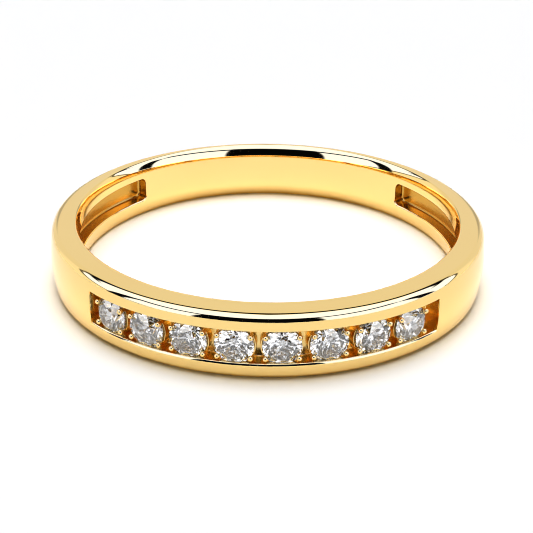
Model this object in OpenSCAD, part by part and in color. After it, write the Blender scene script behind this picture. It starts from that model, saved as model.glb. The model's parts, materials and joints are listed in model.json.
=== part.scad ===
// Half-eternity ring in yellow gold, lying on its side.
// The finger hole runs along Z. The stones face the front, -Y.
// The origin is the centre of the band's outer circle, on the surface that the ring lies on.
// All sizes are in millimetres and all angles in degrees.

/* [Band] */
// Diameter of the finger hole
inner_d = 17.3; // [16.5:0.1:18.5]
// Thickness of the band at the front, under the stones
front_t = 1.65; // [1.6:0.05:2.0]
// Thickness of the band at the back
back_t = 0.85; // [0.85:0.05:1.2]
// Width of the band along the finger
band_w = 2.82; // [2.7:0.02:3.2]
// Radius of the two rounded outer edges
outer_round = 0.25; // [0.15:0.05:0.25]
// Radius of the two rounded inner edges
inner_round = 0.45; // [0.3:0.05:0.45]
// How far the middle of the outer face stands out past its edges
dome = 0.085; // [0.05:0.005:0.1]

/* [Channel] */
// Half of the angle that the stone channel spans
channel_half_angle = 46.2; // [46:0.1:48]
// Width of the channel between its two rails
channel_w = 1.44; // [1.42:0.01:1.5]
// Depth of the channel below the outer face
channel_depth = 0.72; // [0.66:0.02:0.74]

/* [Stones] */
// Number of round brilliant stones in the channel
stone_count = 8; // [6:1:8]
// Diameter of a stone across its girdle
stone_d = 1.57; // [1.5:0.01:1.58]
// Angle from one stone to the next
stone_pitch = 11.05; // [11:0.05:11.2]
// Turn of the whole row of stones in the channel
row_shift = -0.9; // [-1:0.1:1]
// Depth of the girdle's middle below the outer face
girdle_depth = 0.27; // [0.26:0.01:0.3]
// Width of the table as a share of the stone's diameter
table_share = 0.57; // [0.53:0.01:0.62]
// Slope of the crown's main facets
crown_angle = 34.5; // [32:0.5:36]
// Slope of the pavilion's main facets
pavilion_angle = 40.8; // [40:0.2:41.6]
// Thickness of the girdle
girdle_t = 0.05; // [0.04:0.005:0.07]

/* [Settings] */
// Outer radius of the round collet under each stone
collet_r = 0.8; // [0.8:0.01:0.82]
// Gap between a stone and the metal that holds it
seat_gap = 0.02; // [0.01:0.005:0.03]
// Radius of the bead at the tip of a claw
bead_r = 0.115; // [0.1:0.005:0.12]
// Radius of a claw's stem
stem_r = 0.085; // [0.07:0.005:0.09]
// Distance of the claws from the stone's axis
claw_reach = 0.8; // [0.79:0.01:0.82]
// Angle of the claws above and below the row's line
claw_angle = 35; // [32:1:38]
// Height of the beads' centres above the girdle's middle
bead_rise = 0.125; // [0.12:0.005:0.13]
// Radius of the drilled hole behind each stone
drill_r = 0.35; // [0.25:0.05:0.4]

/* [Shoulder hollows] */
// Where a hollow in the inside of the band starts, as an angle from the front
hollow_front = 72; // [68:1:80]
// Where it ends, as an angle from the front
hollow_rear = 132; // [124:1:136]
// Width of a hollow along the finger
hollow_w = 1.14; // [1.0:0.02:1.2]
// Depth of a hollow below the wall of the finger hole
hollow_depth = 0.6; // [0.4:0.05:0.6]

/* [Hidden] */
bore_r = inner_d / 2;
outer_r = (inner_d + front_t + back_t) / 2;
bore_y = (front_t - back_t) / 2;
mid_z = band_w / 2;
stone_r = stone_d / 2;
table_r = table_share * stone_r;
// Where the star facets' tips lie, halfway between the table's edge and the girdle
star_r = (table_r * cos(22.5) + stone_r) / 2;
// Where the lower facets' tips lie, 77 percent of the way from the girdle to the culet
lower_r = 0.23 * stone_r;
crown_z = girdle_t / 2 + (stone_r - table_r) * tan(crown_angle);
star_z = girdle_t / 2 + (stone_r - star_r * cos(22.5)) * tan(crown_angle);
lower_z = -girdle_t / 2 - (stone_r - lower_r * cos(22.5)) * tan(pavilion_angle);
culet_z = -girdle_t / 2 - stone_r * tan(pavilion_angle);
floor_z = girdle_depth - channel_depth;
gold = [0.93, 0.76, 0.42];
stone_white = [0.9, 0.94, 0.97];
cut_past = 1;
// Turn of the finger hole's seam from +X, where a revolved shape starts
seam_turn = 90;
arc_steps = 5;
dome_steps = 8;

// Points of an arc about a centre, from one angle to another
function arc(centre, r, from, to) =
    [for (i = [0:arc_steps]) let (a = from + (to - from) * i / arc_steps)
        centre + r * [cos(a), sin(a)]];

// Radius of the domed outer face at a height in the band
function outer_face(z) =
    outer_r - dome * pow((2 * z - band_w) / (band_w - 2 * outer_round), 2);

// A point at a radius, an angle and a height
function polar(r, a, z) = [r * cos(a), r * sin(a), z];

// Height of the girdle's edge where two half facets meet it between their corners
function scallop(tip_r, tip_z) =
    let (edge_z = sign(tip_z) * girdle_t / 2)
    edge_z - (tip_z - edge_z) / ((stone_r - tip_r) * cos(11.25)) * stone_r * (1 - cos(11.25));

// Turn from the front of the ring, in the plane that it lies in
module turned(a) {
    rotate([0, 0, a]) children();
}

// Places a shape on the axis of one stone: its Z points out of the ring
module at_stone(index) {
    turned(row_shift + (index - (stone_count + 1) / 2) * stone_pitch)
        translate([0, girdle_depth - outer_r, mid_z])
            rotate([90, 0, 0]) children();
}

// A block of a ring between two radii and two heights, from one angle to another
module sector(r_in, r_out, z_low, z_high, from, to) {
    turned(from - 90)
        rotate_extrude(angle = to - from, $fn = 180)
            translate([r_in, z_low]) square([r_out - r_in, z_high - z_low]);
}

// The band before anything is cut into it, with a domed face and rounded outer edges
module band_blank() {
    edge_r = outer_r - dome - outer_round;
    profile = concat(
        [[0, 0]],
        arc([edge_r, outer_round], outer_round, -90, 0),
        [for (i = [1:dome_steps - 1])
            let (z = outer_round + (band_w - 2 * outer_round) * i / dome_steps)
            [outer_face(z), z]],
        arc([edge_r, band_w - outer_round], outer_round, 0, 90),
        [[0, band_w]]
    );
    rotate_extrude($fn = 180) polygon(profile);
}

// The finger hole, a true bore with a flare at each end. Its seam is at the back, where a ring is soldered.
module finger_hole() {
    flare_r = bore_r + inner_round;
    profile = concat(
        [[0, -cut_past], [flare_r, -cut_past]],
        arc([flare_r, inner_round], inner_round, 270, 180),
        arc([flare_r, band_w - inner_round], inner_round, 180, 90),
        [[flare_r, band_w + cut_past], [0, band_w + cut_past]]
    );
    translate([0, bore_y, 0]) turned(seam_turn) rotate_extrude($fn = 180) polygon(profile);
}

// The recess in the front of the band that the stones stand in
module channel() {
    sector(outer_r - channel_depth, outer_r + cut_past, mid_z - channel_w / 2, mid_z + channel_w / 2,
        -channel_half_angle, channel_half_angle);
}

// The hollow in the inside of one shoulder
module shoulder_hollow() {
    translate([0, bore_y, 0])
        sector(bore_r - cut_past, bore_r + hollow_depth, mid_z - hollow_w / 2, mid_z + hollow_w / 2,
            hollow_front, hollow_rear);
}

// One claw: a round stem out of the channel's floor, ending in a bead over the stone's edge
module claw(a) {
    rotate([0, 0, a]) translate([claw_reach, 0, 0]) {
        translate([0, 0, floor_z - stem_r]) cylinder(h = bead_rise - floor_z + stem_r, r = stem_r, $fn = 32);
        translate([0, 0, bead_rise]) sphere(r = bead_r, $fn = 32);
    }
}

// The round collet and the four claws of one stone
module setting() {
    rim_z = -2 * girdle_t;
    translate([0, 0, floor_z - stem_r]) cylinder(h = rim_z - floor_z + stem_r, r = collet_r, $fn = 64);
    for (a = [claw_angle, 180 - claw_angle, 180 + claw_angle, -claw_angle]) claw(a);
}

// The room that one stone takes in the metal, with its gap, and the drilled hole behind it
module seat() {
    profile = [
        [0, culet_z - 2 * seat_gap],
        [stone_r + seat_gap, -girdle_t / 2 - seat_gap],
        [stone_r + seat_gap, girdle_t / 2 + seat_gap],
        [star_r, star_z + seat_gap],
        [table_r, crown_z + seat_gap],
        [0, crown_z + seat_gap]
    ];
    rotate_extrude($fn = 64) polygon(profile);
    translate([0, 0, -front_t]) cylinder(h = front_t + culet_z / 2, r = drill_r, $fn = 32);
}

// The whole metal part of the ring, which is one casting
module band() {
    color(gold) difference() {
        union() {
            difference() {
                band_blank();
                channel();
            }
            for (index = [1:stone_count]) at_stone(index) setting();
        }
        for (index = [1:stone_count]) at_stone(index) seat();
        finger_hole();
        shoulder_hollow();
        mirror([1, 0, 0]) shoulder_hollow();
    }
}

// A round brilliant: table, 8 stars, 8 kites and 16 halves above, 16 halves and 8 mains below
module brilliant() {
    rim = 32;
    upper_edge = scallop(star_r, star_z);
    lower_edge = scallop(lower_r, lower_z);
    points = concat(
        [for (k = [0:7]) polar(table_r, 45 * k, crown_z)],
        [for (k = [0:7]) polar(star_r, 45 * k + 22.5, star_z)],
        [for (j = [0:rim - 1]) polar(stone_r, 11.25 * j, j % 2 == 0 ? girdle_t / 2 : upper_edge)],
        [for (j = [0:rim - 1]) polar(stone_r, 11.25 * j, j % 2 == 0 ? -girdle_t / 2 : lower_edge)],
        [for (k = [0:7]) polar(lower_r, 45 * k + 22.5, lower_z)],
        [[0, 0, culet_z]]
    );
    table = 0;
    star = 8;
    upper = 16;
    lower = upper + rim;
    tip = lower + rim;
    culet = tip + 8;
    faces = concat(
        [[for (k = [7:-1:0]) table + k]],
        [for (k = [0:7]) [table + k, table + (k + 1) % 8, star + k]],
        [for (k = [0:7]) [table + k, star + k, upper + 4 * k, star + (k + 7) % 8]],
        [for (k = [0:7]) [star + k, upper + 4 * k + 2, upper + 4 * k + 1, upper + 4 * k]],
        [for (k = [0:7]) [star + k, upper + (4 * k + 4) % rim, upper + 4 * k + 3, upper + 4 * k + 2]],
        [for (j = [0:rim - 1]) [lower + j, upper + j, upper + (j + 1) % rim, lower + (j + 1) % rim]],
        [for (k = [0:7]) [tip + k, lower + 4 * k, lower + 4 * k + 1, lower + 4 * k + 2]],
        [for (k = [0:7]) [tip + k, lower + 4 * k + 2, lower + 4 * k + 3, lower + (4 * k + 4) % rim]],
        [for (k = [0:7]) [culet, tip + (k + 7) % 8, lower + 4 * k, tip + k]]
    );
    polyhedron(points = points, faces = faces);
}

// One stone in its place, counted from the left end of the row
module stone(index) {
    color(stone_white) at_stone(index) brilliant();
}

band();
for (index = [1:stone_count])
    stone(index);
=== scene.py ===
"""Dresses the packed half-eternity ring: a polished gold band on its side, with a channel of cut stones.

Every size is in metres, in the frame of the packed part: the ring's outer circle is centred on the Z axis,
the ring lies on z = 0 and the stones face the front, -Y. Angles round the ring are measured from the front,
positive towards +X.
"""

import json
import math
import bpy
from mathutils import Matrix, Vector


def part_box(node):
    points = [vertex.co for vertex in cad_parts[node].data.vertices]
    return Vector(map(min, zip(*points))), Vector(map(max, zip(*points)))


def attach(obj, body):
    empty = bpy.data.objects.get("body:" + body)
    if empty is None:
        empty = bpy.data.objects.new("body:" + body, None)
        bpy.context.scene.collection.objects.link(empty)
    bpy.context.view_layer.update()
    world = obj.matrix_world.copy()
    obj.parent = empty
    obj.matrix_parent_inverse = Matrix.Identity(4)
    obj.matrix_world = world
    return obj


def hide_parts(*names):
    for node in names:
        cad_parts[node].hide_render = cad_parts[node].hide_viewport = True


bl_info = {
    "name": "Half-eternity ring",
    "version": (1, 0, 0),
    "blender": (4, 5, 0),
    "location": "3D View > Sidebar > Ring",
    "description": "Builds the band, settings, stones and studio of a half-eternity ring",
    "category": "Add Mesh",
}

import bmesh
import bpy
import numpy as np
from mathutils import Matrix

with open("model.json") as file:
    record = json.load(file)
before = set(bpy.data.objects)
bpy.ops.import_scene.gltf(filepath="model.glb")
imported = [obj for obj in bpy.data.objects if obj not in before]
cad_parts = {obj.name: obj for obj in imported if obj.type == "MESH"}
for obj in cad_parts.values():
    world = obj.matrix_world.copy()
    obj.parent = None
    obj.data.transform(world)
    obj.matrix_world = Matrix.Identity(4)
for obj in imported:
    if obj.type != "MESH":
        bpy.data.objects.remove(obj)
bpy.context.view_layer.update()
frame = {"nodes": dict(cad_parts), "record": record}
BAND_LOW, BAND_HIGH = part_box("band")
BORE = next(m for m in frame["record"]["mounts"] if m["name"] == "finger_bore")
STONES = sorted(name for name in frame["nodes"] if name.startswith("stone_"))

MM = 0.001
WHITE = (1, 1, 1, 1)
# Points that round to the same multiple of this are one point
WELD = 1e-9
# Edges sharper than this stay sharp in the shading
SHARP = math.radians(32)
# Steps in the quarter turn of a small rounding, and of a collet's rim
SOFT_STEPS = 5
RIM_STEPS = 4
# A bevel's parts, and its tilt in degrees at some shares of its length
BEVEL_PARTS = 10
BEVEL_SHARES = (0, 0.15, 0.75, 1)
BEVEL_TILTS = (0, 20, 42, 90)
# How deep the collets and the claws stand in the channel's floor
SINK = 0.05 * MM
# Sides of a collet and of a claw, and lines from a bead's neck to its top
COLLET_SIDES = 72
CLAW_SIDES = 32
BEAD_LINES = 19


def number(name, description, default, **kind):
    """A number property. Its kind is a unit or a subtype."""
    return bpy.props.FloatProperty(name=name, description=description, default=default, **kind)


def length(name, description, metres):
    """A length property."""
    return number(name, description, metres, unit="LENGTH", precision=6)


def angle(name, description, degrees):
    """An angle property."""
    return number(name, description, math.radians(degrees), subtype="ANGLE")


def colour(name, description, default):
    """A colour property, in linear light."""
    return bpy.props.FloatVectorProperty(
        name=name, description=description, default=default, size=3, subtype="COLOR", min=0.0, max=1.0
    )


class BandSizes(bpy.types.PropertyGroup):
    """The band's cross-section."""

    outer_radius: length("Outer radius", "Radius at the middle of the outer face", BAND_HIGH.x)
    width: length("Width", "Width along the finger", BAND_HIGH.z - BAND_LOW.z)
    bore_radius: length("Bore radius", "Radius of the finger hole", BORE["dims"]["r_mm"] * MM)
    bore_shift: length("Bore shift", "How far the finger hole lies towards the back", BORE["pos_m"][1])
    dome: length("Dome", "How far the outer face stands out past its edges", 0.085 * MM)
    outer_round: length("Outer rounding", "Radius of the outer edges", 0.35 * MM)
    inner_round: length("Inner rounding", "Width of the inner edges' rounding at the front", 0.4 * MM)
    inner_drop: length("Inner drop", "Height of the inner edges' rounding", 0.74 * MM)
    inner_back: number("Inner back", "Share of that width that the rounding has at the back", 0.86)
    inner_side: number("Inner side", "How far its share at the sides is below the mean of the two", 0.42)
    inner_turn: angle("Inner turn", "Part of an ellipse's quarter in the rounding at the front and back", 75)
    side_turn: angle("Side turn", "Part of an ellipse's quarter in the rounding at the sides", 89)


class ChannelSizes(bpy.types.PropertyGroup):
    """The recess that the stones stand in."""

    half_angle: angle("Half angle", "Angle from the front to each end", 46.2)
    width: length("Width", "Width between the two rails", 1.42 * MM)
    rise: length("Rise", "How far the channel's middle lies above the band's", 0.045 * MM)
    depth: length("Depth", "Depth below the outer face", 0.72 * MM)
    lip: length("Lip", "Radius of the channel's upper edge and ends", 0.05 * MM)
    bevel: length("Bevel", "Length of the bevel along the channel's lower edge", 0.15 * MM)
    fillet: length("Fillet", "Radius between the walls and the floor", 0.05 * MM)
    drill_radius: length("Drill radius", "Radius of the hole behind each stone", 0.35 * MM)


class HollowSizes(bpy.types.PropertyGroup):
    """The hollow in the inside of each shoulder."""

    front: angle("Front end", "Where a hollow starts, from the front", 72)
    rear: angle("Rear end", "Where a hollow ends, from the front", 132)
    width: length("Width", "Width along the finger", 1.14 * MM)
    depth: length("Depth", "Depth below the finger hole's wall", 0.6 * MM)
    corner: length("Corner radius", "Radius of the opening's corners", 0.27 * MM)
    lip: length("Lip", "Radius of the opening's edge", 0.08 * MM)
    fillet: length("Fillet", "Radius between the walls and the bottom", 0.14 * MM)


class SettingSizes(bpy.types.PropertyGroup):
    """Collets, claws and beads."""

    girdle_depth: length("Girdle depth", "Depth of the girdle below the outer face", 0.27 * MM)
    collet_radius: length("Collet radius", "Outer radius of the collet", 0.84 * MM)
    collet_rim: length("Collet rim", "Width of the collet's rim", 0.1 * MM)
    bead_radius: length("Bead radius", "Radius of the bead on a claw", 0.115 * MM)
    bead_rise: length("Bead rise", "Height of the bead's middle above the girdle", 0.125 * MM)
    stem_radius: length("Stem radius", "Radius of a claw's stem", 0.075 * MM)
    claw_reach: length("Claw reach", "Distance of the bead from the stone's axis", 0.8 * MM)
    claw_angle: angle("Claw angle", "Angle of the claws above and below the row", 35)


class StudioSettings(bpy.types.PropertyGroup):
    """Camera, floor and light."""

    distance: length("Distance", "Level distance of the camera from the ring's axis", 44.676 * MM)
    height: length("Height", "Height of the camera above the floor", 22.109 * MM)
    turn: angle("Turn", "Turn of the camera round the ring", 0.95)
    heading: angle("Heading", "Sideways turn of the camera on its own place", 0.048)
    tilt: angle("Tilt", "How far the camera looks down", 26.22)
    roll: angle("Roll", "Roll of the camera", 0.758)
    lens: number("Lens", "Focal length in millimetres, on a 36 mm sensor", 71.39)
    floor_reach: length("Floor reach", "Half of the floor's side", 3.0)
    floor_gap: length("Floor gap", "Gap between the ring and the floor", 0.005 * MM)
    floor_shade: number("Floor shade", "Share of the light that the floor gives back", 0.8)
    overhead: number("Overhead light", "Brightness of the middle of the light on the floor", 14.0)
    overhead_focus: number("Overhead focus", "How fast the light on the floor fades from its middle", 20.0)
    overhead_lean: angle("Overhead lean", "How far the light on the floor leans to the back", 8.5)
    glow: number("Glow", "Brightness of the light that the gold throws on the floor", 4.0)
    glow_focus: number("Glow focus", "How fast the glow fades away from straight above", 0.6)
    ceiling: number("Ceiling light", "Brightness of the ceiling and the panels beside the camera", 3.1)
    cool: colour("Cool light", "Colour in which polished metal first sees the ceiling", (0.38, 0.49, 1.0))
    wall: number("Wall", "Brightness of the wall behind the ring", 0.87)
    side: number("Sides", "Brightness of the walls at the sides", 1.05)
    dark: number("Dark side", "Brightness of the studio's dark parts", 0.004)


class Finishes(bpy.types.PropertyGroup):
    """Colours and polish."""

    gold: colour("Gold", "Yellow gold", (0.98, 0.705, 0.272))
    gold_deep: colour("Deep gold", "Yellow gold where it is a little redder", (0.975, 0.69, 0.26))
    polish: number("Polish", "Roughness of polished gold", 0.045)
    # Painted shade: these two colours are darker than the gold, and stand in for the shade inside the
    # channel and, darker and redder, in the shoulders' hollows
    gold_recess: colour("Recess gold", "Gold that no polishing wheel reaches", (0.8, 0.57, 0.22))
    gold_hollow: colour("Hollow gold", "Gold in the hollows of the shoulders", (0.57, 0.32, 0.06))
    recess: number("Recess", "Roughness of gold that no polishing wheel reaches", 0.2)
    hollow: number("Hollow", "Roughness of gold in the hollows of the shoulders", 0.22)
    stone: colour("Stone", "Clear stone", (0.5, 0.51, 0.53))
    refraction: number("Refraction", "Refractive index of the stones", 2.42)


GROUPS = {
    "ring_band": BandSizes,
    "ring_channel": ChannelSizes,
    "ring_hollow": HollowSizes,
    "ring_setting": SettingSizes,
    "ring_studio": StudioSettings,
    "ring_finish": Finishes,
}


# Mesh helpers


def table(*rows):
    """The rows of one array. A single number fills its row."""
    return np.stack(np.broadcast_arrays(*rows))


def together(*parts):
    """Points or faces from their parts, which are arrays or single numbers."""
    return np.stack(np.broadcast_arrays(*parts), axis=-1)


def weld(points, quads):
    """Points that coincide become one, and a quad that has lost its area becomes a triangle or goes.

    Gives the numbers of the points that stay, and the faces.
    """
    keys = np.round(points / WELD).astype(np.int64)
    _, first, back = np.unique(keys, axis=0, return_index=True, return_inverse=True)
    faces = back.reshape(-1)[quads]
    repeats = faces == np.roll(faces, -1, axis=1)
    corners = 4 - repeats.sum(axis=1)
    fours = faces[corners == 4]
    fours = fours[(fours[:, 0] != fours[:, 2]) & (fours[:, 1] != fours[:, 3])]
    threes = faces[corners == 3][~repeats[corners == 3]].reshape(-1, 3)
    return first, fours.tolist() + threes.tolist()


def placed(name, data):
    """A new object in the scene, at the origin."""
    item = bpy.data.objects.new(name, data)
    bpy.context.scene.collection.objects.link(item)
    return item


def gold_piece(name, points, quads, normals=None):
    """A closed gold piece from grid points and quads, smooth except across sharp edges.

    Normals, where they are given and not zero, take the place of those that Blender works out. The piece
    rides with the ring, and the gold pieces together stand for the packed band.
    """
    kept, faces = weld(points, quads)
    points = points[kept]
    mesh = bpy.data.meshes.new(name)
    mesh.from_pydata(points.tolist(), [], faces)
    shell = bmesh.new()
    shell.from_mesh(mesh)
    bmesh.ops.recalc_face_normals(shell, faces=shell.faces)
    shell.to_mesh(mesh)
    shell.free()
    mesh.polygons.foreach_set("use_smooth", np.ones(len(mesh.polygons), bool))
    mesh.set_sharp_from_angle(angle=SHARP)
    if normals is not None:
        mesh.normals_split_custom_set_from_vertices(normals[kept].tolist())
    mesh.materials.append(finish_material("polished_gold"))
    item = placed(name, mesh)
    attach(item, "root")
    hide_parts("band")


def grid_quads(rows, columns, wrap_rows, wrap_columns, keep=None):
    """Quads of a grid of points numbered row by row; a wrapped side joins its last line to its first."""
    row, column = np.meshgrid(
        np.arange(rows if wrap_rows else rows - 1),
        np.arange(columns if wrap_columns else columns - 1),
        indexing="ij",
    )
    after_row = (row + 1) % rows
    after_column = (column + 1) % columns
    quads = together(
        row * columns + column,
        after_row * columns + column,
        after_row * columns + after_column,
        row * columns + after_column,
    )
    return quads.reshape(-1, 4) if keep is None else quads[keep]


def lathe(profile, sides, closed):
    """Turns a profile of (radius, height) points about Z: x = r cos a, y = r sin a, z = height."""
    turn = np.arange(sides) * 2 * np.pi / sides
    radius, height = profile[:, 0], profile[:, 1]
    points = together(np.outer(np.cos(turn), radius), np.outer(np.sin(turn), radius), height)
    return points.reshape(-1, 3), grid_quads(sides, len(profile), True, closed)


def copies(points, quads, places):
    """Repeats one shape: places is an array of copies of all of its points."""
    count = len(places)
    shifted = quads[None] + np.arange(count)[:, None, None] * len(points)
    return places.reshape(-1, 3), shifted.reshape(-1, 4)


def quarter(steps, start=0.0):
    """Angles from a start to a quarter turn."""
    return np.linspace(start, np.pi / 2, steps + 1)


# The band


def edge_law(lip, fillet, depth):
    """The lines that cross one edge of a recess, from outside to inside.

    A quarter round of radius lip turns into a straight wall, and one of radius fillet ends it on the bottom.
    Gives each line's distance inside the edge and its depth.
    """
    t = quarter(SOFT_STEPS)
    inset = np.concatenate([lip * (np.sin(t) - 1), fillet * (1 - np.cos(t))])
    deep = np.concatenate([lip * (1 - np.cos(t)), depth - fillet * (1 - np.sin(t))])
    return inset, deep


def bevel_law(bevel, fillet, depth):
    """The same for an edge with a bevel in place of the lip, which has soft ends.

    Along the bevel the tilt rises fast to 20 degrees, slowly to 42 and fast to 90. Each line lies one step
    of (cos tilt, sin tilt) past the one before.
    """
    share = (np.arange(BEVEL_PARTS) + 0.5) / BEVEL_PARTS
    tilt = np.radians(np.interp(share, BEVEL_SHARES, BEVEL_TILTS))
    across = np.append(0, np.cumsum(np.cos(tilt))) * bevel / BEVEL_PARTS
    down = np.append(0, np.cumsum(np.sin(tilt))) * bevel / BEVEL_PARTS
    t = quarter(SOFT_STEPS)
    inset = np.concatenate([across - across[-1], fillet * (1 - np.cos(t))])
    deep = np.concatenate([down, depth - fillet * (1 - np.sin(t))])
    return inset, deep


def crossing(edge, inward, law, scale=1.0):
    """An edge's lines at their place: edge + inward times inset.

    inward is 1 where the recess lies past the edge, and -1 where it lies before it. Round the ring, scale
    turns a distance into an angle.
    """
    inset, deep = law
    place = edge + inward * inset * scale
    return (place, deep) if inward > 0 else (place[::-1], deep[::-1])


def run(start, stop, lines, deep=0.0, guard=0.0):
    """Evenly spaced lines at one depth.

    A guard line near each end keeps the shading of a flat stretch flat.
    """
    place = np.linspace(start, stop, lines)
    if guard:
        place = np.sort(np.append(place, [start + guard, stop - guard]))
    return place, np.full(len(place), float(deep))


class Lines:
    """Grid lines in order, each with its place and its depth in the two kinds of recess."""

    def __init__(self):
        self.parts = []

    def add(self, lines, kind="plain"):
        """Adds lines and gives the number of the first one."""
        place, deep = lines
        first = sum(part.shape[1] for part in self.parts)
        self.parts.append(table(place, deep * (kind == "channel"), deep * (kind == "hollow")))
        return first

    def joined(self):
        """All lines as one array of three rows: place, depth in the channel and depth in a hollow."""
        return np.concatenate(self.parts, axis=1)


def bore_reach(band, around, radius):
    """Distance from the outer circle's centre to a circle about the finger hole's axis, at an angle.

    The ray at angle a meets a circle of radius R, whose centre lies s behind, at the distance
    -s cos a + sqrt(R2 - s2 sin2 a).
    """
    shift = band.bore_shift
    return -shift * np.cos(around) + np.sqrt(radius**2 - (shift * np.sin(around)) ** 2)


def face_radius(band, offset):
    """Radius of the domed outer face at a height w above the middle: R - dome (2 w / flat width)2."""
    flat = band.width - 2 * band.outer_round
    return band.outer_radius - band.dome * (2 * offset / flat) ** 2


class BandGrid:
    """The band's surface as one grid: its lines run round the ring and round its cross-section.

    At a recess's edges the lines lie close together, and its depth where two lines cross is the smaller of
    the two lines' depths. Behind each stone a block of lines is bent round a hole.
    """

    # Cells across a block, cells from its middle to the hole's edge, and lines between two blocks
    BLOCK = 12
    HOLE = 3
    GAP = 8
    # Half of a block: its height in the channel's floor and in the finger hole's wall, and its length
    FLOOR_HALF = 0.45 * MM
    WALL_HALF = 0.4 * MM
    ALONG_HALF = 0.42 * MM
    # Lines across a rail, across the top, beside a block in the floor, and in a stretch of the wall
    RAIL_LINES = 7
    TOP_LINES = 5
    FLOOR_LINES = 3
    WALL_LINES = 4
    # Distance of a guard line from the end of its stretch, and that at the top as a share of its width
    GUARD = 0.008 * MM
    TOP_GUARD = 0.02
    # Steps in the outer edges' rounding
    OUTER_STEPS = 12
    # The inner edges' lines lie at 1 - s ** EASE of their turn, with even steps of s from EASE_START to 1
    INNER_LINES = 19
    EASE_START = 0.06
    EASE = 1.5
    # Largest angle between two lines round the ring
    STEP = math.radians(1.5)
    # Lips outside a hollow's edge where the pull onto its round corners starts, and in which it grows whole
    PULL_START = 3.5
    PULL_GROWTH = 2

    def __init__(self, scene):
        self.band = scene.ring_band
        self.channel = scene.ring_channel
        self.hollow = scene.ring_hollow
        self.mid = self.band.width / 2
        self.floor_radius = self.band.outer_radius - self.channel.depth
        self.rail = self.channel.width / 2
        self.edge_depth = face_radius(self.band, self.rail) - self.floor_radius
        self.stones = [stone_angle(name) for name in STONES]
        self.cut = np.arange(self.BLOCK // 2 - self.HOLE, self.BLOCK // 2 + self.HOLE)
        self.section_lines()
        self.ring_lines()

    def across(self, kind, end, edges, depth, half, counts, low=None):
        """Lines up a face and its recess, and the number of the first line of the block in the middle.

        The face runs to end above and below the middle, and the recess, of the named kind, lies between the
        edges. half is half of the block's height, and counts are the lines of a stretch outside the recess
        and of one beside the block. The lower edge follows the low law, or else the upper edge's law.
        """
        sizes, guard = getattr(self, kind), self.GUARD
        high = edge_law(sizes.lip, sizes.fillet, depth)
        low = low or high
        bottom, top = edges
        outside, beside = counts
        lines = Lines()
        lines.add(run(-end, bottom + low[0][0], outside, guard=guard))
        lines.add(crossing(bottom, 1, low), kind)
        lines.add(run(bottom + sizes.fillet, -half, beside, depth, guard), kind)
        block = lines.add(run(-half, half, self.BLOCK + 1, depth), kind)
        lines.add(run(half, top - sizes.fillet, beside, depth, guard), kind)
        lines.add(crossing(top, -1, high), kind)
        lines.add(run(top + sizes.lip, end, outside, guard=guard))
        return lines.joined(), block

    def section_lines(self):
        """Lines round the cross-section: the outer face, the top, the finger hole's wall and the bottom.

        Each line has its height above the middle, its radius about the outer circle's centre, its radius
        about the finger hole's axis, its share of the way from the first to the second, the outward and
        upward parts of the surface's normal, and its share of the inner edges' turn, which is -1 elsewhere.
        That share is all that counts for the inner edges' lines: round_inner_edges works out the rest.
        """
        band, channel, hollow = self.band, self.channel, self.hollow
        soft = band.outer_round
        slope = math.atan(4 * band.dome / (band.width - 2 * soft))
        face_end = self.mid - soft * (1 - math.sin(slope))
        centre = float(face_radius(band, face_end)) - soft * math.cos(slope)
        throat = band.bore_radius + band.inner_round
        t = quarter(self.OUTER_STEPS, slope)
        cos, sin = np.cos(t), np.sin(t)
        out = table(self.mid - soft + soft * sin, centre + soft * cos, throat, 0, cos, sin, -1)
        flat = run(0, 1, self.TOP_LINES, guard=self.TOP_GUARD)[0][1:]
        top = table(self.mid, centre, throat, flat, 0, 1, -1)
        ease = 1 - np.linspace(self.EASE_START, 1, self.INNER_LINES) ** self.EASE
        into = table(self.mid, centre, throat, 1, 0, 1, ease)
        over = np.concatenate([out, top, into], axis=1)
        under = over[:, ::-1] * np.array([-1, 1, 1, 1, 1, -1, 1])[:, None]
        edges = (channel.rise - self.rail, channel.rise + self.rail)
        counts = (self.RAIL_LINES, self.FLOOR_LINES)
        bevel = bevel_law(channel.bevel, channel.fillet, self.edge_depth)
        face, self.floor_block = self.across(
            "channel", face_end, edges, self.edge_depth, self.FLOOR_HALF, counts, bevel
        )
        edges = (-hollow.width / 2, hollow.width / 2)
        counts = (self.WALL_LINES, self.WALL_LINES)
        wall_end = self.mid - band.inner_drop
        wall, block = self.across("hollow", wall_end, edges, hollow.depth, self.WALL_HALF, counts)
        wall = wall[:, ::-1]
        bulge = 8 * band.dome * face[0] / (band.width - 2 * soft) ** 2
        outer = table(face[0], face_radius(band, face[0]), throat, 0, 1, bulge, -1)
        inner = table(wall[0], centre, band.bore_radius, 1, -1, 0, -1)
        section = np.concatenate([outer, over, inner, under], axis=1)
        self.offset, self.outer, self.inner, self.share, self.outward, self.upward, self.ease = section
        first = face.shape[1] + over.shape[1]
        self.wall_rows = slice(first, first + wall.shape[1])
        self.wall_block = first + wall.shape[1] - block - self.BLOCK - 1
        self.channel_rows = np.zeros(len(self.offset))
        self.channel_rows[: face.shape[1]] = face[1]
        self.hollow_rows = np.zeros(len(self.offset))
        self.hollow_rows[self.wall_rows] = wall[2]

    def ring_lines(self):
        """Lines round the ring, from the back over the left side and the front to the back again."""
        band, channel, hollow, count = self.band, self.channel, self.hollow, self.WALL_LINES
        law = edge_law(channel.lip, channel.fillet, self.edge_depth)
        outer_scale, bore_scale = 1 / band.outer_radius, 1 / band.bore_radius
        # The hollows' ends are given as angles about the finger hole's axis
        reach = band.bore_radius + hollow.depth / 2
        first, last = (
            math.atan2(reach * math.sin(a), reach * math.cos(a) - band.bore_shift)
            for a in (hollow.front, hollow.rear)
        )
        self.hollow_ends = (first, last)
        hollow_law = edge_law(hollow.lip, hollow.fillet, hollow.depth)
        margin = 2 * hollow.lip * bore_scale
        inside = hollow.corner * bore_scale
        side = hollow.fillet * bore_scale
        block = self.ALONG_HALF / band.bore_radius
        lines = Lines()

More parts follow.
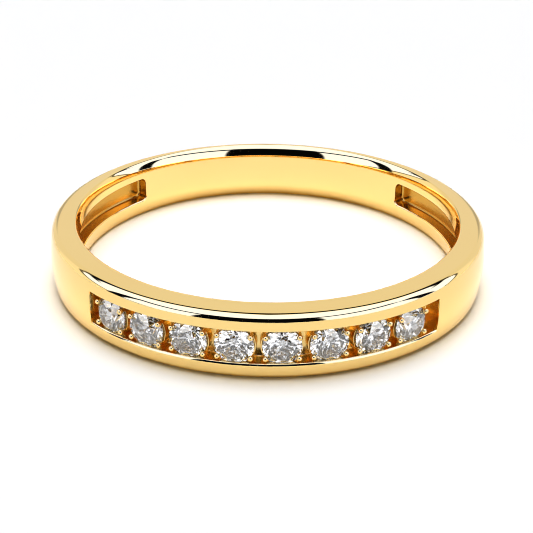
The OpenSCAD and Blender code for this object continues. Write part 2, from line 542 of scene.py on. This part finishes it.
        def plain(start, stop):
            """Lines where nothing crosses the band."""
            lines.add(run(start, stop, math.ceil((stop - start) / self.STEP) + 1))

        def recess(near, far):
            """Lines across a hollow and just outside it."""
            lines.add(run(near - margin, near - margin / 2, 2))
            lines.add(crossing(near, 1, hollow_law, bore_scale), "hollow")
            lines.add(run(near + side, near + inside, count, hollow.depth), "hollow")
            between = math.ceil((far - near - 2 * inside) / self.STEP) + 1
            lines.add(run(near + inside, far - inside, between, hollow.depth), "hollow")
            lines.add(run(far - inside, far - side, count, hollow.depth), "hollow")
            lines.add(crossing(far, -1, hollow_law, bore_scale), "hollow")
            lines.add(run(far + margin / 2, far + margin, 2))

        edge = channel.half_angle
        out = edge + channel.lip * outer_scale
        plain(-math.pi, -last - margin)
        recess(-last, -first)
        plain(margin - first, -out)
        lines.add(crossing(-edge, 1, law, outer_scale), "channel")
        self.block_starts = []
        place = channel.fillet * outer_scale - edge
        for middle in self.stones:
            lines.add(run(place, middle - block, self.GAP, self.edge_depth), "channel")
            cells = run(middle - block, middle + block, self.BLOCK + 1, self.edge_depth)
            self.block_starts.append(lines.add(cells, "channel"))
            place = middle + block
        lines.add(run(place, edge - channel.fillet * outer_scale, self.GAP, self.edge_depth), "channel")
        lines.add(crossing(edge, -1, law, outer_scale), "channel")
        plain(out, first - margin)
        recess(first, last)
        plain(last + margin, math.pi)
        self.around, self.channel_lines, self.hollow_lines = lines.joined()[:, :-1]

    def round_hollow_corners(self, around, offset):
        """Pulls the loops of lines round each hollow onto rounded rectangles.

        A loop that lies e inside the opening's edge is a rectangle of half sizes A - e and B - e, and its
        corner has the radius corner - e. Each line in a corner's zone takes its share of the quarter circle.
        """
        hollow, reach = self.hollow, self.band.bore_radius
        first, last = self.hollow_ends
        half_a = (last - first) / 2 * reach
        half_w = hollow.width / 2
        along = (np.abs(around) - (first + last) / 2) * reach
        a, w = np.abs(along), np.abs(offset)
        inside = np.minimum(half_a - a, half_w - w)
        radius = np.maximum(hollow.corner - inside, WELD)
        side_a, side_w = half_a - inside, half_w - inside
        share_a = (a - side_a + radius) / radius
        share_w = (w - side_w + radius) / radius
        zone = (share_a > 0) & (share_w > 0) & (hollow.corner > inside)
        turn = np.where(half_w - w <= half_a - a, np.pi / 2 - np.pi / 4 * share_a, np.pi / 4 * share_w)
        fade = np.clip((inside + self.PULL_START * hollow.lip) / (self.PULL_GROWTH * hollow.lip), 0, 1)
        pull = np.where(zone, fade, 0)
        new_a = a + pull * (side_a - radius + radius * np.cos(turn) - a)
        new_w = w + pull * (side_w - radius + radius * np.sin(turn) - w)
        moved = np.sign(around) * ((first + last) / 2 + np.sign(along) * new_a / reach)
        return np.where(pull > 0, moved, around), np.where(pull > 0, np.sign(offset) * new_w, offset)

    def open_holes(self, around, offset, first_row, radius_at, upright):
        """Bends the block of lines round each drilled hole, so that its inner square becomes a circle.

        A point keeps its place on the block's edge and lies at r (cos t, sin t) on the hole's edge, where t
        is its direction from the middle, and the loops between them share the two. upright is -1 where the
        rows run downwards.
        """
        place = np.arange(self.BLOCK + 1) / (self.BLOCK / 2) - 1
        p, q = np.meshgrid(place, place * upright, indexing="ij")
        edge = self.HOLE / (self.BLOCK / 2)
        share = np.clip((np.maximum(np.abs(p), np.abs(q)) - edge) / (1 - edge), 0, 1)
        turn = np.arctan2(q, p)
        rows = slice(first_row, first_row + self.BLOCK + 1)
        hole = self.channel.drill_radius
        for start, middle in zip(self.block_starts, self.stones):
            lines = slice(start, start + self.BLOCK + 1)
            reach = float(radius_at(middle))
            across = (around[lines, rows] - middle) * reach
            across = across * share + hole * np.cos(turn) * (1 - share)
            around[lines, rows] = middle + np.arcsin(across / reach)
            offset[lines, rows] = offset[lines, rows] * share + hole * np.sin(turn) * (1 - share)

    def hole_walls(self, rows):
        """Quads that join each hole's edge in the channel's floor to its edge in the finger hole's wall.

        The numbers p and q walk once round the square of cells that is cut out of a block.
        """
        up, still = self.cut, np.full(2 * self.HOLE, self.cut[0])
        p = np.concatenate([up, still + 2 * self.HOLE, up[::-1] + 1, still])
        q = np.concatenate([still, up, still + 2 * self.HOLE, up[::-1] + 1])
        line = np.array(self.block_starts)[:, None] + p
        front = line * rows + self.floor_block + q
        rear = line * rows + self.wall_block + self.BLOCK - q
        return together(front, rear, np.roll(rear, -1, axis=1), np.roll(front, -1, axis=1)).reshape(-1, 4)

    def narrowing(self, around):
        """Width of the inner edges' rounding as a share of its width at the front.

        It is 1 - (1 - back)(1 - cos a)/2 - side sin2 a.
        """
        behind = (1 - self.band.inner_back) * (1 - np.cos(around)) / 2
        return 1 - behind - self.band.inner_side * np.sin(around) ** 2

    def round_inner_edges(self, around, offset, throat, outward, upward):
        """Lays the inner edges' lines on part of an ellipse, W wide and H high at an angle a round the ring.

        At t, from the turn at the top down to 0, a point is W (1 - cos t) outside the wall and H sin t above
        the wall's end, and its normal is -H cos t outward and W sin t upward. W and H follow from the
        rounding's width and drop. The turn grows with sin2 a from its value at the front to its side value.
        """
        band = self.band
        rows = self.ease >= 0
        place = around[:, rows]
        turn = band.inner_turn + (band.side_turn - band.inner_turn) * np.sin(place) ** 2
        t = turn * self.ease[rows]
        tall = band.inner_drop / np.sin(turn)
        wide = band.inner_round * self.narrowing(place) / (1 - np.cos(turn))
        side = np.sign(self.offset[rows])
        offset[:, rows] = side * (self.mid - band.inner_drop + tall * np.sin(t))
        throat[:, rows] = band.bore_radius + wide * (1 - np.cos(t))
        outward[:, rows] = -tall * np.cos(t)
        upward[:, rows] = side * wide * np.sin(t)

    def normals(self, points, outward, upward, plain):
        """Exact normals where no recess or hole bends the surface, and zero where Blender works them out.

        A normal is outward times the level direction from the line's own axis, plus upward times Z.
        """
        level = points[..., :2] - together(0, self.share * self.band.bore_shift)
        level /= np.linalg.norm(level, axis=-1, keepdims=True)
        normal = np.concatenate([level * outward[..., None], upward[..., None]], axis=-1)
        return normal / np.linalg.norm(normal, axis=-1, keepdims=True) * plain[..., None]

    def surface(self):
        """The grid's points, quads and normals.

        A point at an angle a, a radius r and a height w is (r sin a, -r cos a, w).
        """
        lines, rows = len(self.around), len(self.offset)
        around = np.repeat(self.around[:, None], rows, axis=1)
        offset = np.repeat(self.offset[None, :], lines, axis=0)
        channel = np.minimum(self.channel_lines[:, None], self.channel_rows)
        hollow = np.minimum(self.hollow_lines[:, None], self.hollow_rows)
        wall = self.wall_rows
        around[:, wall], offset[:, wall] = self.round_hollow_corners(around[:, wall], offset[:, wall])
        self.open_holes(around, offset, self.floor_block, lambda a: self.floor_radius, 1)
        self.open_holes(
            around, offset, self.wall_block, lambda a: bore_reach(self.band, a, self.band.bore_radius), -1
        )
        above_floor = self.floor_radius + self.edge_depth - channel
        outer = np.where(channel < self.edge_depth / 2, self.outer - channel, above_floor)
        bore = self.band.bore_radius
        throat = bore + (self.inner - bore) * self.narrowing(around)
        outward = np.repeat(self.outward[None, :], lines, axis=0)
        upward = np.repeat(self.upward[None, :], lines, axis=0)
        self.round_inner_edges(around, offset, throat, outward, upward)
        inner = bore_reach(self.band, around, throat + hollow)
        radius = outer * (1 - self.share) + inner * self.share
        points = together(radius * np.sin(around), -radius * np.cos(around), offset + self.mid)
        keep = np.ones((lines, rows), bool)
        plain = (channel == 0) & (hollow == 0)
        cut, rim = self.cut, np.append(self.cut, self.cut[-1] + 1)
        starts = np.array(self.block_starts)[:, None]
        for first_row in (self.floor_block, self.wall_block):
            keep[np.ix_((starts + cut).ravel(), first_row + cut)] = False
            plain[np.ix_((starts + rim).ravel(), first_row + rim)] = False
        quads = np.concatenate([grid_quads(lines, rows, True, True, keep), self.hole_walls(rows)])
        return points.reshape(-1, 3), quads, self.normals(points, outward, upward, plain).reshape(-1, 3)


# Stones and settings


def stone_points(name):
    """The vertices of a packed stone as an array."""
    mesh = frame["nodes"][name].data
    points = np.empty(len(mesh.vertices) * 3, np.float32)
    mesh.vertices.foreach_get("co", points)
    return points.reshape(-1, 3).astype(float)


def stone_angle(name):
    """Angle of a stone's axis from the front. Its vertices lie evenly round it, so their mean is on it."""
    middle = stone_points(name).mean(axis=0)
    return math.atan2(middle[0], -middle[1])


def on_stones(sizes, band, points):
    """Copies points to every stone: local X along the row, local Y up and local Z out of the ring.

    A point is origin + x T + y Z + z N, with N the stone's outward axis, T = (cos a, sin a, 0) and the
    origin at the middle of its girdle.
    """
    turn = np.array([stone_angle(name) for name in STONES])
    out = together(np.sin(turn), -np.cos(turn), 0)
    along = together(np.cos(turn), np.sin(turn), 0)
    up = np.array([0.0, 0.0, 1.0])
    origin = out * (band.outer_radius - sizes.girdle_depth) + up * band.width / 2
    return (
        origin[:, None]
        + points[None, :, 0, None] * along[:, None]
        + points[None, :, 1, None] * up
        + points[None, :, 2, None] * out[:, None]
    )


def collet_profile(sizes, floor):
    """A cup with a sloping inside: up the outer wall, over a small rounded rim and down the cone inside.

    The edges of the rim are quarter circles of radius soft. The cone ends at the throat's radius, a lift
    above the floor. Heights are counted from the girdle.
    """
    rim, soft = -0.1 * MM, 0.02 * MM
    throat, lift = 0.36 * MM, 0.04 * MM
    outside, inside = sizes.collet_radius, sizes.collet_radius - sizes.collet_rim
    base = floor - SINK
    t = quarter(RIM_STEPS)
    parts = [
        np.array([[outside, base], [outside, floor], [outside, rim - 2 * soft]]),
        together(outside - soft + soft * np.cos(t), rim - soft + soft * np.sin(t)),
        together(inside + soft - soft * np.sin(t), rim - soft + soft * np.cos(t)),
        np.array([[throat, floor + lift], [throat, base]]),
    ]
    return np.concatenate(parts)


def claw_profile(sizes, floor):
    """A stem that flares at its foot and narrows to a neck, with a round bead on it.

    The stem's points are shares of its radius at some heights. From the neck, 0.9 of that radius wide, the
    bead is (R sin t, rise + R cos t), with t down to 0 at the top.
    """
    bead, stem, rise = sizes.bead_radius, sizes.stem_radius, sizes.bead_rise
    foot = floor - SINK
    neck = math.asin(min(1.0, stem * 0.9 / bead))
    t = np.linspace(np.pi - neck, 0, BEAD_LINES)
    heights = [foot, foot, floor + 0.05 * MM, floor + 0.12 * MM, rise - bead * 1.3]
    shaft = together(stem * np.array([0, 1.25, 1.15, 1, 1]), heights)
    return np.concatenate([shaft, together(bead * np.sin(t), rise + bead * np.cos(t))])


# Materials


class Value:
    """A number in a node tree. Arithmetic on it adds Math nodes."""

    def __init__(self, nodes, socket):
        self.nodes = nodes
        self.socket = socket

    def math(self, operation, *others, swapped=False):
        """A Math node on this value and others, which come first when swapped."""
        values = [self, *others]
        if swapped:
            values.reverse()
        node = self.nodes.add("ShaderNodeMath", enumerate(values), operation=operation)
        return Value(self.nodes, node.outputs[0])

    def __add__(self, other):
        return self.math("ADD", other)

    __radd__ = __add__

    def __sub__(self, other):
        return self.math("SUBTRACT", other)

    def __rsub__(self, other):
        return self.math("SUBTRACT", other, swapped=True)

    def __mul__(self, other):
        return self.math("MULTIPLY", other)

    __rmul__ = __mul__

    def __abs__(self):
        return self.math("ABSOLUTE")

    def ramp(self, low, high):
        """0 below low and 1 above high, smooth between them."""
        inputs = {"Value": self, "From Min": low, "From Max": high}
        node = self.nodes.add("ShaderNodeMapRange", inputs, interpolation_type="SMOOTHSTEP")
        return Value(self.nodes, node.outputs["Result"])

    def between(self, low, high, soft):
        """1 between two limits and 0 outside them, with soft edges."""
        return self.ramp(low - soft, low + soft) * (1 - self.ramp(high - soft, high + soft))

    def towards(self, target, share):
        """This value where share is 0 and the target where it is 1."""
        return self + (target - self) * share


class Nodes:
    """A node tree under construction."""

    def __init__(self, tree):
        self.tree = tree
        tree.nodes.clear()

    def add(self, kind, inputs=(), **settings):
        """A node of a kind, with its settings, and then values or links for its sockets."""
        node = self.tree.nodes.new(kind)
        for name, value in settings.items():
            setattr(node, name, value)
        for name, value in dict(inputs).items():
            socket = node.inputs[name]
            if isinstance(value, Value):
                self.tree.links.new(value.socket, socket)
            elif isinstance(value, bpy.types.NodeSocket):
                self.tree.links.new(value, socket)
            else:
                socket.default_value = value
        return node

    def value(self, node, output=0):
        """One output of a node as a number."""
        return Value(self, node.outputs[output])

    def parts(self, vector):
        """The X, Y and Z of a vector as numbers."""
        split = self.add("ShaderNodeSeparateXYZ", {"Vector": vector})
        return [self.value(split, axis) for axis in ("X", "Y", "Z")]

    def noise(self, place, scale, detail, roughness):
        """A noise pattern as a number."""
        inputs = {"Vector": place, "Scale": scale, "Detail": detail, "Roughness": roughness}
        return self.value(self.add("ShaderNodeTexNoise", inputs))

    def mix(self, share, low, high):
        """A colour that is low where share is 0 and high where it is 1."""
        inputs = {"Factor": share, 6: low, 7: high}
        return self.add("ShaderNodeMix", inputs, data_type="RGBA").outputs[2]

    def surface(self, inputs):
        """A Principled shader with these inputs, on the surface."""
        shader = self.add("ShaderNodeBsdfPrincipled", inputs)
        self.add("ShaderNodeOutputMaterial", {"Surface": shader.outputs["BSDF"]})


def new_material(name):
    """A material and its empty node tree."""
    material = bpy.data.materials.new(name)
    material.use_nodes = True
    return material, Nodes(material.node_tree)


def gold_material(finish, band, channel):
    """Polished yellow gold: a faint drift of colour, and fine marks in the polish.

    Inside the recesses, which no polishing wheel reaches, the gold is rougher, and its colour is darkened
    there as painted shade.
    In the hollows of the shoulders the painted shade is darker and redder.
    """
    material, nodes = new_material("polished_gold")
    place = nodes.add("ShaderNodeTexCoord").outputs["Object"]
    x, y, z = nodes.parts(place)
    behind = y - band.bore_shift
    from_axis = (x * x + y * y).math("SQRT")
    from_bore = (x * x + behind * behind).math("SQRT")
    rail = channel.width / 2
    # Mask of the recesses: there the gold is rougher, and its colour carries painted shade
    in_row = 1 - abs(z - band.width / 2 - channel.rise).ramp(rail, rail + 0.03 * MM)
    in_metal = from_bore.ramp(band.bore_radius + 0.05 * MM, band.bore_radius + 0.12 * MM)
    in_face = 1 - from_axis.ramp(band.outer_radius - 0.15 * MM, band.outer_radius - 0.11 * MM)
    recess = in_row * in_metal * in_face
    shoulder = y.ramp(-5 * MM, -4 * MM)
    drift = nodes.noise(place, scale=260.0, detail=3.0, roughness=0.5)
    marks = nodes.noise(place, scale=9000.0, detail=4.0, roughness=0.6)
    tint = nodes.mix(drift.ramp(0.35, 0.75), (*finish.gold, 1), (*finish.gold_deep, 1))
    # Painted shade: darker gold in the recesses, darker and redder still in the shoulders' hollows
    painted_shade_colour = nodes.mix(shoulder, (*finish.gold_recess, 1), (*finish.gold_hollow, 1))
    bump = nodes.add("ShaderNodeBump", {"Strength": 0.012, "Distance": 0.01 * MM, "Height": marks})
    polish = finish.polish + 0.02 * marks.ramp(0.45, 0.8)
    unpolished = finish.recess + (finish.hollow - finish.recess) * shoulder
    nodes.surface(
        {
            "Base Color": nodes.mix(recess, tint, painted_shade_colour),
            "Metallic": 1.0,
            "Roughness": polish.towards(unpolished, recess),
            "Normal": bump.outputs["Normal"],
        }
    )
    return material


def stone_material(finish):
    """Clear cut stone that refracts as diamond does."""
    material, nodes = new_material("cut_stone")
    nodes.surface(
        {
            "Base Color": (*finish.stone, 1),
            "Roughness": 0.0,
            "IOR": finish.refraction,
            "Transmission Weight": 1.0,
        }
    )
    return material


def floor_material(studio):
    """A plain pale sweep of paper."""
    material, nodes = new_material("pale_floor")
    shade = studio.floor_shade
    nodes.surface({"Base Color": (shade, shade, shade, 1), "Roughness": 0.9, "Specular IOR Level": 0.1})
    return material


def studio_world(studio):
    """Soft studio light by direction. The limits of its parts are in degrees.

    Behind the ring is a pale wall, with brighter ones at the sides. Over them arches a bright ceiling, with
    a pale strip above the wall. A bright panel is at each side of the camera, and dark parts set these off.

    The camera itself sees plain white. The floor takes its light from above, and the gold throws a wide
    glow on it. At its first reflection metal sees the ceiling and the panels in a cool colour.
    """
    world = bpy.data.worlds.new("studio")
    world.use_nodes = True
    world.cycles.sampling_method = "NONE"
    nodes = Nodes(world.node_tree)
    x, y, z = nodes.parts(nodes.add("ShaderNodeTexCoord").outputs["Generated"])
    # Round from straight behind the ring, positive to the right, and up from the level
    azimuth = x.math("ARCTAN2", y).math("DEGREES")
    elevation = z.math("ARCSINE").math("DEGREES")
    from_back = abs(azimuth)
    # Towards the middle and away from it, counted from the corners of the wall behind the ring
    corner = 50
    near = (corner - from_back).math("MAXIMUM", 0)
    far = (from_back - corner).math("MAXIMUM", 0)
    back = 1 - from_back.ramp(corner - 4, corner + 8)
    light = back * (studio.wall - studio.side) + studio.side
    # Elevations that follow the ceiling's edge, the dark band's lower edge and the band's upper edge
    arch = elevation + far * (0.9 + azimuth * 0.003) - near * 0.19
    foot = elevation + far * 0.12 - near * 0.19
    dome = elevation + (corner - near) * 0.56 + far * 0.36
    strip = dome.between(60, 80, 2) * near.ramp(2, 12)
    panel = abs(azimuth + 1.5).ramp(103, 106) * (1 - abs(azimuth - 3).ramp(146.5, 149.5))
    panel = panel * elevation.between(-40, 46, 2)
    bright = (arch.ramp(38.5, 41) * (1 - strip)).math("MAXIMUM", panel)
    light = light.towards(studio.ceiling, bright)
    # The dark parts, each with its strength at the end where it isn't whole
    darks = (
        # The ceiling's edge
        arch.between(36.5, 40, 1) * 0.9,
        # A dark band above the wall, which thins out to the sides
        foot.ramp(38, 40) * (1 - dome.ramp(72, 75)) * (1 - from_back.ramp(74, 80)),
        # A line above each panel
        elevation.between(38, 46.5, 1) * from_back.ramp(97, 101),
        # The dark side round the camera
        abs(azimuth - 3).ramp(147, 149) * elevation.between(-10, 48, 2),
        # A soft strip at each side of the wall's middle
        from_back.ramp(10, 20) * (1 - from_back.ramp(24, 30)) * elevation.between(-4, 21, 3) * 0.45,
        # A strip at each panel's far side
        abs(azimuth + 3.5).between(93.5, 104, 1) * elevation.between(2, 40, 2),
    )
    for dark in darks:
        light = light.towards(studio.dark, dark)
    paths = nodes.add("ShaderNodeLightPath")
    facing = z * math.cos(studio.overhead_lean) + y * math.sin(studio.overhead_lean)
    overhead = facing.math("MAXIMUM", 0).math("POWER", studio.overhead_focus) * studio.overhead
    glow = z.math("MAXIMUM", 0).math("POWER", studio.glow_focus) * studio.glow
    light = light.towards(glow, nodes.value(paths, "Diffuse Depth").math("MINIMUM", 1))
    light = light.towards(overhead, nodes.value(paths, "Is Diffuse Ray"))
    light = light.towards(1.0, nodes.value(paths, "Is Camera Ray"))
    # Gold has some roughness and stones have none. After one reflection the ray depth reads 2 here.
    rough = 1 - nodes.value(paths, "Is Singular Ray")
    first = 1 - nodes.value(paths, "Ray Depth").ramp(2.2, 2.8)
    metal = nodes.value(paths, "Is Glossy Ray") * rough * first
    tint = nodes.mix(bright * metal, WHITE, (*studio.cool, 1))
    background = nodes.add("ShaderNodeBackground", {"Color": tint, "Strength": light})
    nodes.add("ShaderNodeOutputWorld", {"Surface": background.outputs[0]})
    return world


def finish_material(name):
    """A finish by name, made when it is first asked for."""
    makers = {
        "polished_gold": lambda ring: gold_material(ring.ring_finish, ring.ring_band, ring.ring_channel),
        "cut_stone": lambda ring: stone_material(ring.ring_finish),
        "pale_floor": lambda ring: floor_material(ring.ring_studio),
    }
    return bpy.data.materials.get(name) or makers[name](bpy.context.scene)


# Operators


class RING_OT_stage(bpy.types.Operator):
    """Builds the floor, the light and the camera"""

    bl_idname = "ring.stage"
    bl_label = "Studio"

    def execute(self, context):
        scene = context.scene
        studio = scene.ring_studio
        reach, drop = studio.floor_reach, studio.floor_gap
        mesh = bpy.data.meshes.new("floor")
        corners = [(x * reach, y * reach, -drop) for x, y in ((-1, -1), (1, -1), (1, 1), (-1, 1))]
        mesh.from_pydata(corners, [], [(0, 1, 2, 3)])
        mesh.materials.append(finish_material("pale_floor"))
        floor = placed("floor", mesh)
        scene.world = studio_world(studio)
        lens = bpy.data.cameras.new("camera")
        lens.lens = studio.lens
        lens.sensor_width = 36.0
        lens.clip_start = 0.001
        lens.clip_end = 20.0
        camera = placed("camera", lens)
        turn = Matrix.Rotation(studio.turn, 4, "Z")
        place = turn @ Matrix.Translation((0.0, -studio.distance, studio.height))
        aim = Matrix.Rotation(studio.heading, 4, "Z") @ Matrix.Rotation(math.pi / 2 - studio.tilt, 4, "X")
        camera.matrix_world = place @ aim @ Matrix.Rotation(studio.roll, 4, "Z")
        scene.camera = camera
        scene.view_settings.view_transform = "Standard"
        scene.cycles.filter_width = 1.0
        scene.cycles.max_bounces = 24
        scene.cycles.glossy_bounces = 16
        scene.cycles.transmission_bounces = 20
        return {"FINISHED"}


class RING_OT_band(bpy.types.Operator):
    """Builds the gold band with its channel, hollows and drilled holes"""

    bl_idname = "ring.band"
    bl_label = "Band"

    def execute(self, context):
        gold_piece("gold_band", *BandGrid(context.scene).surface())
        return {"FINISHED"}


class RING_OT_settings(bpy.types.Operator):
    """Builds the collets and the claws with their beads"""

    bl_idname = "ring.settings"
    bl_label = "Settings"

    def execute(self, context):
        scene = context.scene
        sizes, band = scene.ring_setting, scene.ring_band
        floor = sizes.girdle_depth - scene.ring_channel.depth
        points, quads = lathe(collet_profile(sizes, floor), COLLET_SIDES, True)
        gold_piece("collets", *copies(points, quads, on_stones(sizes, band, points)))
        points, quads = lathe(claw_profile(sizes, floor), CLAW_SIDES, False)
        lean = sizes.claw_angle
        turns = np.array([lean, np.pi - lean, np.pi + lean, -lean])
        shift = together(np.cos(turns), np.sin(turns), 0) * sizes.claw_reach
        four, quads = copies(points, quads, points[None] + shift[:, None])
        gold_piece("claws", *copies(four, quads, on_stones(sizes, band, four)))
        return {"FINISHED"}


class RING_OT_stones(bpy.types.Operator):
    """Gives the packed stones their clear, refracting finish"""

    bl_idname = "ring.stones"
    bl_label = "Stones"

    def execute(self, context):
        for name in STONES:
            item = frame["nodes"][name]
            for slot in item.material_slots:
                slot.material = finish_material("cut_stone")
        return {"FINISHED"}


class RING_PT_panel(bpy.types.Panel):
    """The ring's sizes and the operators that build it"""

    bl_idname = "RING_PT_panel"
    bl_label = "Half-eternity ring"
    bl_space_type = "VIEW_3D"
    bl_region_type = "UI"
    bl_category = "Ring"

    def draw(self, context):
        layout = self.layout
        for operator in OPERATORS:
            layout.operator(operator.bl_idname)
        for name, group in GROUPS.items():
            box = layout.box()
            box.label(text=group.__doc__)
            for size in group.__annotations__:
                box.prop(getattr(context.scene, name), size)


OPERATORS = (RING_OT_stage, RING_OT_band, RING_OT_settings, RING_OT_stones)
CLASSES = (*GROUPS.values(), *OPERATORS, RING_PT_panel)


def register():
    for item in CLASSES:
        bpy.utils.register_class(item)
    for name, group in GROUPS.items():
        setattr(bpy.types.Scene, name, bpy.props.PointerProperty(type=group))


def unregister():
    for name in GROUPS:
        delattr(bpy.types.Scene, name)
    for item in reversed(CLASSES):
        bpy.utils.unregister_class(item)


def main():
    """Builds the whole scene."""
    register()
    bpy.ops.ring.stage()
    bpy.ops.ring.band()
    bpy.ops.ring.settings()
    bpy.ops.ring.stones()


if __name__ == "__main__":
    main()
